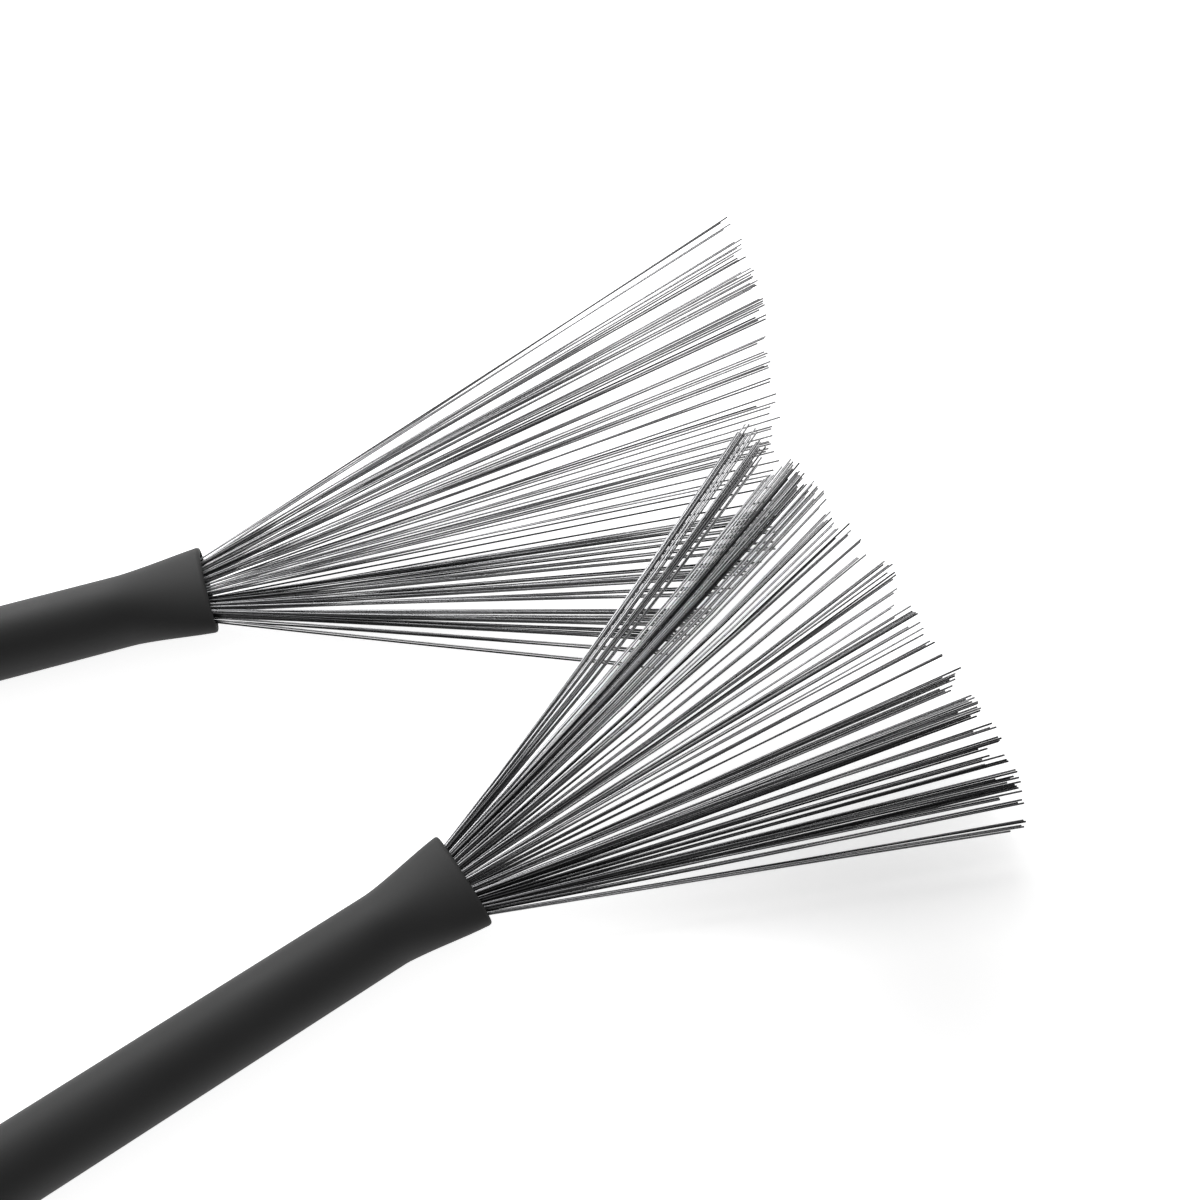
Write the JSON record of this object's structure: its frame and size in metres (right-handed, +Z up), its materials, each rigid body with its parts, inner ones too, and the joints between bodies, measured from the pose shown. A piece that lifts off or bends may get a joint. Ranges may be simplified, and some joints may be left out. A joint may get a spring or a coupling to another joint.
{
  "type": "wire drum brush pair",
  "caption": "Pair of retractable wire drum brushes: black rubber grips with flared oval mouths, fanned steel wires on a sliding rod, one fan lying across the other.",
  "frame": {"origin": "on the surface that the brushes lie on, under the middle of the pair's bounding box", "axes": "+Z up from the surface, +X to the right along the pair's longest extent, which is the way the fans point, +Y away from the player"},
  "size_m": [0.3648, 0.2944, 0.016],
  "materials": {
    "black_rubber": "matte, smooth",
    "aluminium": "satin",
    "white_nylon": "satin",
    "soft_rubber": "matte",
    "rod_steel": "polished",
    "black_plastic": "satin",
    "brass": "satin",
    "wire_steel": "drawn bright wire"
  },
  "bodies": {
    "rear_handle": {"rear_grip_sleeve": "black_rubber", "rear_handle_tube": "aluminium", "rear_guide_bush": "white_nylon", "rear_friction_ring": "soft_rubber"},
    "rear_carriage": {"rear_pull_rod": "rod_steel", "rear_pull_knob": "black_plastic", "rear_knob_buffer": "soft_rubber", "rear_wire_ferrule": "brass", "rear_glide_ring": "white_nylon", "rear_ferrule_pin": "rod_steel"},
    "rear_tuft_01": {"rear_wire_tuft_01": "wire_steel"},
    "rear_tuft_02": {"rear_wire_tuft_02": "wire_steel"},
    "rear_tuft_03": {"rear_wire_tuft_03": "wire_steel"},
    "rear_tuft_04": {"rear_wire_tuft_04": "wire_steel"},
    "rear_tuft_05": {"rear_wire_tuft_05": "wire_steel"},
    "rear_tuft_06": {"rear_wire_tuft_06": "wire_steel"},
    "rear_tuft_07": {"rear_wire_tuft_07": "wire_steel"},
    "rear_tuft_08": {"rear_wire_tuft_08": "wire_steel"},
    "rear_tuft_09": {"rear_wire_tuft_09": "wire_steel"},
    "rear_tuft_10": {"rear_wire_tuft_10": "wire_steel"},
    "rear_tuft_11": {"rear_wire_tuft_11": "wire_steel"},
    "front_handle": {"front_grip_sleeve": "black_rubber", "front_handle_tube": "aluminium", "front_guide_bush": "white_nylon", "front_friction_ring": "soft_rubber"},
    "front_carriage": {"front_pull_rod": "rod_steel", "front_pull_knob": "black_plastic", "front_knob_buffer": "soft_rubber", "front_wire_ferrule": "brass", "front_glide_ring": "white_nylon", "front_ferrule_pin": "rod_steel"},
    "front_tuft_01": {"front_wire_tuft_01": "wire_steel"},
    "front_tuft_02": {"front_wire_tuft_02": "wire_steel"},
    "front_tuft_03": {"front_wire_tuft_03": "wire_steel"},
    "front_tuft_04": {"front_wire_tuft_04": "wire_steel"},
    "front_tuft_05": {"front_wire_tuft_05": "wire_steel"},
    "front_tuft_06": {"front_wire_tuft_06": "wire_steel"},
    "front_tuft_07": {"front_wire_tuft_07": "wire_steel"},
    "front_tuft_08": {"front_wire_tuft_08": "wire_steel"},
    "front_tuft_09": {"front_wire_tuft_09": "wire_steel"},
    "front_tuft_10": {"front_wire_tuft_10": "wire_steel"},
    "front_tuft_11": {"front_wire_tuft_11": "wire_steel"}
  },
  "joints": [
    {"name": "rear_fan_slide", "type": "slide", "parent": "rear_handle", "child": "rear_carriage", "axis": [0.9542, 0.299, 0], "range_m": [-0.14, 0], "deforming": ["rear_wire_tuft_01", "rear_wire_tuft_02", "rear_wire_tuft_03", "rear_wire_tuft_04", "rear_wire_tuft_05", "rear_wire_tuft_06", "rear_wire_tuft_07", "rear_wire_tuft_08", "rear_wire_tuft_09", "rear_wire_tuft_10", "rear_wire_tuft_11"]},
    {"name": "rear_tuft_01_bend", "type": "hinge", "parent": "rear_carriage", "child": "rear_tuft_01", "pos_m": [-0.00617, 0.03325, 0.008], "axis": [0.02, 0.0063, 0.9998], "range_deg": [-24.03, 0], "deforming": ["rear_wire_tuft_01"]},
    {"name": "rear_tuft_02_bend", "type": "hinge", "parent": "rear_carriage", "child": "rear_tuft_02", "pos_m": [-0.00596, 0.03256, 0.008], "axis": [0.02, 0.0063, 0.9998], "range_deg": [-21.01, 0], "deforming": ["rear_wire_tuft_02"]},
    {"name": "rear_tuft_03_bend", "type": "hinge", "parent": "rear_carriage", "child": "rear_tuft_03", "pos_m": [-0.00574, 0.03187, 0.008], "axis": [0.02, 0.0063, 0.9998], "range_deg": [-17.84, 0], "deforming": ["rear_wire_tuft_03"]},
    {"name": "rear_tuft_04_bend", "type": "hinge", "parent": "rear_carriage", "child": "rear_tuft_04", "pos_m": [-0.00553, 0.03119, 0.008], "axis": [0.02, 0.0063, 0.9998], "range_deg": [-14.55, 0], "deforming": ["rear_wire_tuft_04"]},
    {"name": "rear_tuft_05_bend", "type": "hinge", "parent": "rear_carriage", "child": "rear_tuft_05", "pos_m": [-0.00531, 0.0305, 0.008], "axis": [0.02, 0.0063, 0.9998], "range_deg": [-9.51, 0], "deforming": ["rear_wire_tuft_05"]},
    {"name": "rear_tuft_06_bend", "type": "hinge", "parent": "rear_carriage", "child": "rear_tuft_06", "pos_m": [-0.0051, 0.02981, 0.008], "axis": [0.02, 0.0063, 0.9998], "range_deg": [-3.85, 0], "deforming": ["rear_wire_tuft_06"]},
    {"name": "rear_tuft_07_bend", "type": "hinge", "parent": "rear_carriage", "child": "rear_tuft_07", "pos_m": [-0.00488, 0.02912, 0.008], "axis": [0.02, 0.0063, 0.9998], "range_deg": [0, 1.33], "deforming": ["rear_wire_tuft_07"]},
    {"name": "rear_tuft_08_bend", "type": "hinge", "parent": "rear_carriage", "child": "rear_tuft_08", "pos_m": [-0.00467, 0.02844, 0.008], "axis": [0.02, 0.0063, 0.9998], "range_deg": [0, 7.83], "deforming": ["rear_wire_tuft_08"]},
    {"name": "rear_tuft_09_bend", "type": "hinge", "parent": "rear_carriage", "child": "rear_tuft_09", "pos_m": [-0.00445, 0.02775, 0.008], "axis": [0.02, 0.0063, 0.9998], "range_deg": [0, 13.56], "deforming": ["rear_wire_tuft_09"]},
    {"name": "rear_tuft_10_bend", "type": "hinge", "parent": "rear_carriage", "child": "rear_tuft_10", "pos_m": [-0.00424, 0.02706, 0.008], "axis": [0.02, 0.0063, 0.9998], "range_deg": [0, 19.43], "deforming": ["rear_wire_tuft_10"]},
    {"name": "rear_tuft_11_bend", "type": "hinge", "parent": "rear_carriage", "child": "rear_tuft_11", "pos_m": [-0.00402, 0.02637, 0.008], "axis": [0.02, 0.0063, 0.9998], "range_deg": [0, 24.1], "deforming": ["rear_wire_tuft_11"]},
    {"name": "front_brush_lift", "type": "slide", "parent": "rear_handle", "child": "front_handle", "axis": [0, 0, 1], "range_m": [0, 0.1]},
    {"name": "front_fan_slide", "type": "slide", "parent": "front_handle", "child": "front_carriage", "axis": [0.829, 0.5592, 0], "range_m": [-0.14, 0], "deforming": ["front_wire_tuft_01", "front_wire_tuft_02", "front_wire_tuft_03", "front_wire_tuft_04", "front_wire_tuft_05", "front_wire_tuft_06", "front_wire_tuft_07", "front_wire_tuft_08", "front_wire_tuft_09", "front_wire_tuft_10", "front_wire_tuft_11"]},
    {"name": "front_tuft_01_bend", "type": "hinge", "parent": "front_carriage", "child": "front_tuft_01", "pos_m": [0.05457, -0.03657, 0.008], "axis": [-0.0231, -0.0156, 0.9996], "range_deg": [-23.32, 0], "deforming": ["front_wire_tuft_01"]},
    {"name": "front_tuft_02_bend", "type": "hinge", "parent": "front_carriage", "child": "front_tuft_02", "pos_m": [0.05497, -0.03716, 0.008], "axis": [-0.0231, -0.0156, 0.9996], "range_deg": [-17.81, 0], "deforming": ["front_wire_tuft_02"]},
    {"name": "front_tuft_03_bend", "type": "hinge", "parent": "front_carriage", "child": "front_tuft_03", "pos_m": [0.05537, -0.03776, 0.008], "axis": [-0.0231, -0.0156, 0.9996], "range_deg": [-14.6, 0], "deforming": ["front_wire_tuft_03"]},
    {"name": "front_tuft_04_bend", "type": "hinge", "parent": "front_carriage", "child": "front_tuft_04", "pos_m": [0.05577, -0.03836, 0.008], "axis": [-0.0231, -0.0156, 0.9996], "range_deg": [-9.98, 0], "deforming": ["front_wire_tuft_04"]},
    {"name": "front_tuft_05_bend", "type": "hinge", "parent": "front_carriage", "child": "front_tuft_05", "pos_m": [0.05618, -0.03895, 0.008], "axis": [-0.0231, -0.0156, 0.9996], "range_deg": [-2.97, 0], "deforming": ["front_wire_tuft_05"]},
    {"name": "front_tuft_06_bend", "type": "hinge", "parent": "front_carriage", "child": "front_tuft_06", "pos_m": [0.05658, -0.03955, 0.008], "axis": [-0.0231, -0.0156, 0.9996], "range_deg": [0, 3.15], "deforming": ["front_wire_tuft_06"]},
    {"name": "front_tuft_07_bend", "type": "hinge", "parent": "front_carriage", "child": "front_tuft_07", "pos_m": [0.05698, -0.04015, 0.008], "axis": [-0.0231, -0.0156, 0.9996], "range_deg": [0, 9.17], "deforming": ["front_wire_tuft_07"]},
    {"name": "front_tuft_08_bend", "type": "hinge", "parent": "front_carriage", "child": "front_tuft_08", "pos_m": [0.05739, -0.04075, 0.008], "axis": [-0.0231, -0.0156, 0.9996], "range_deg": [0, 12.3], "deforming": ["front_wire_tuft_08"]},
    {"name": "front_tuft_09_bend", "type": "hinge", "parent": "front_carriage", "child": "front_tuft_09", "pos_m": [0.05779, -0.04134, 0.008], "axis": [-0.0231, -0.0156, 0.9996], "range_deg": [0, 16.43], "deforming": ["front_wire_tuft_09"]},
    {"name": "front_tuft_10_bend", "type": "hinge", "parent": "front_carriage", "child": "front_tuft_10", "pos_m": [0.05819, -0.04194, 0.008], "axis": [-0.0231, -0.0156, 0.9996], "range_deg": [0, 21.36], "deforming": ["front_wire_tuft_10"]},
    {"name": "front_tuft_11_bend", "type": "hinge", "parent": "front_carriage", "child": "front_tuft_11", "pos_m": [0.05859, -0.04254, 0.008], "axis": [-0.0231, -0.0156, 0.9996], "range_deg": [0, 24.89], "deforming": ["front_wire_tuft_11"]}
  ],
  "couplings": [
    {"joint": "rear_tuft_01_bend", "follows": "rear_fan_slide", "rad_per_m": 2.9897},
    {"joint": "rear_tuft_02_bend", "follows": "rear_fan_slide", "rad_per_m": 2.6133},
    {"joint": "rear_tuft_03_bend", "follows": "rear_fan_slide", "rad_per_m": 2.2173},
    {"joint": "rear_tuft_04_bend", "follows": "rear_fan_slide", "rad_per_m": 1.8077},
    {"joint": "rear_tuft_05_bend", "follows": "rear_fan_slide", "rad_per_m": 1.1792},
    {"joint": "rear_tuft_06_bend", "follows": "rear_fan_slide", "rad_per_m": 0.47373},
    {"joint": "rear_tuft_07_bend", "follows": "rear_fan_slide", "rad_per_m": -0.15935},
    {"joint": "rear_tuft_08_bend", "follows": "rear_fan_slide", "rad_per_m": -0.97032},
    {"joint": "rear_tuft_09_bend", "follows": "rear_fan_slide", "rad_per_m": -1.6847},
    {"joint": "rear_tuft_10_bend", "follows": "rear_fan_slide", "rad_per_m": -2.4154},
    {"joint": "rear_tuft_11_bend", "follows": "rear_fan_slide", "rad_per_m": -2.9988},
    {"joint": "front_tuft_01_bend", "follows": "front_fan_slide", "rad_per_m": 2.9004},
    {"joint": "front_tuft_02_bend", "follows": "front_fan_slide", "rad_per_m": 2.2139},
    {"joint": "front_tuft_03_bend", "follows": "front_fan_slide", "rad_per_m": 1.8135},
    {"joint": "front_tuft_04_bend", "follows": "front_fan_slide", "rad_per_m": 1.2384},
    {"joint": "front_tuft_05_bend", "follows": "front_fan_slide", "rad_per_m": 0.36392},
    {"joint": "front_tuft_06_bend", "follows": "front_fan_slide", "rad_per_m": -0.38647},
    {"joint": "front_tuft_07_bend", "follows": "front_fan_slide", "rad_per_m": -1.1373},
    {"joint": "front_tuft_08_bend", "follows": "front_fan_slide", "rad_per_m": -1.5269},
    {"joint": "front_tuft_09_bend", "follows": "front_fan_slide", "rad_per_m": -2.0415},
    {"joint": "front_tuft_10_bend", "follows": "front_fan_slide", "rad_per_m": -2.6562},
    {"joint": "front_tuft_11_bend", "follows": "front_fan_slide", "rad_per_m": -3.0966}
  ]
}
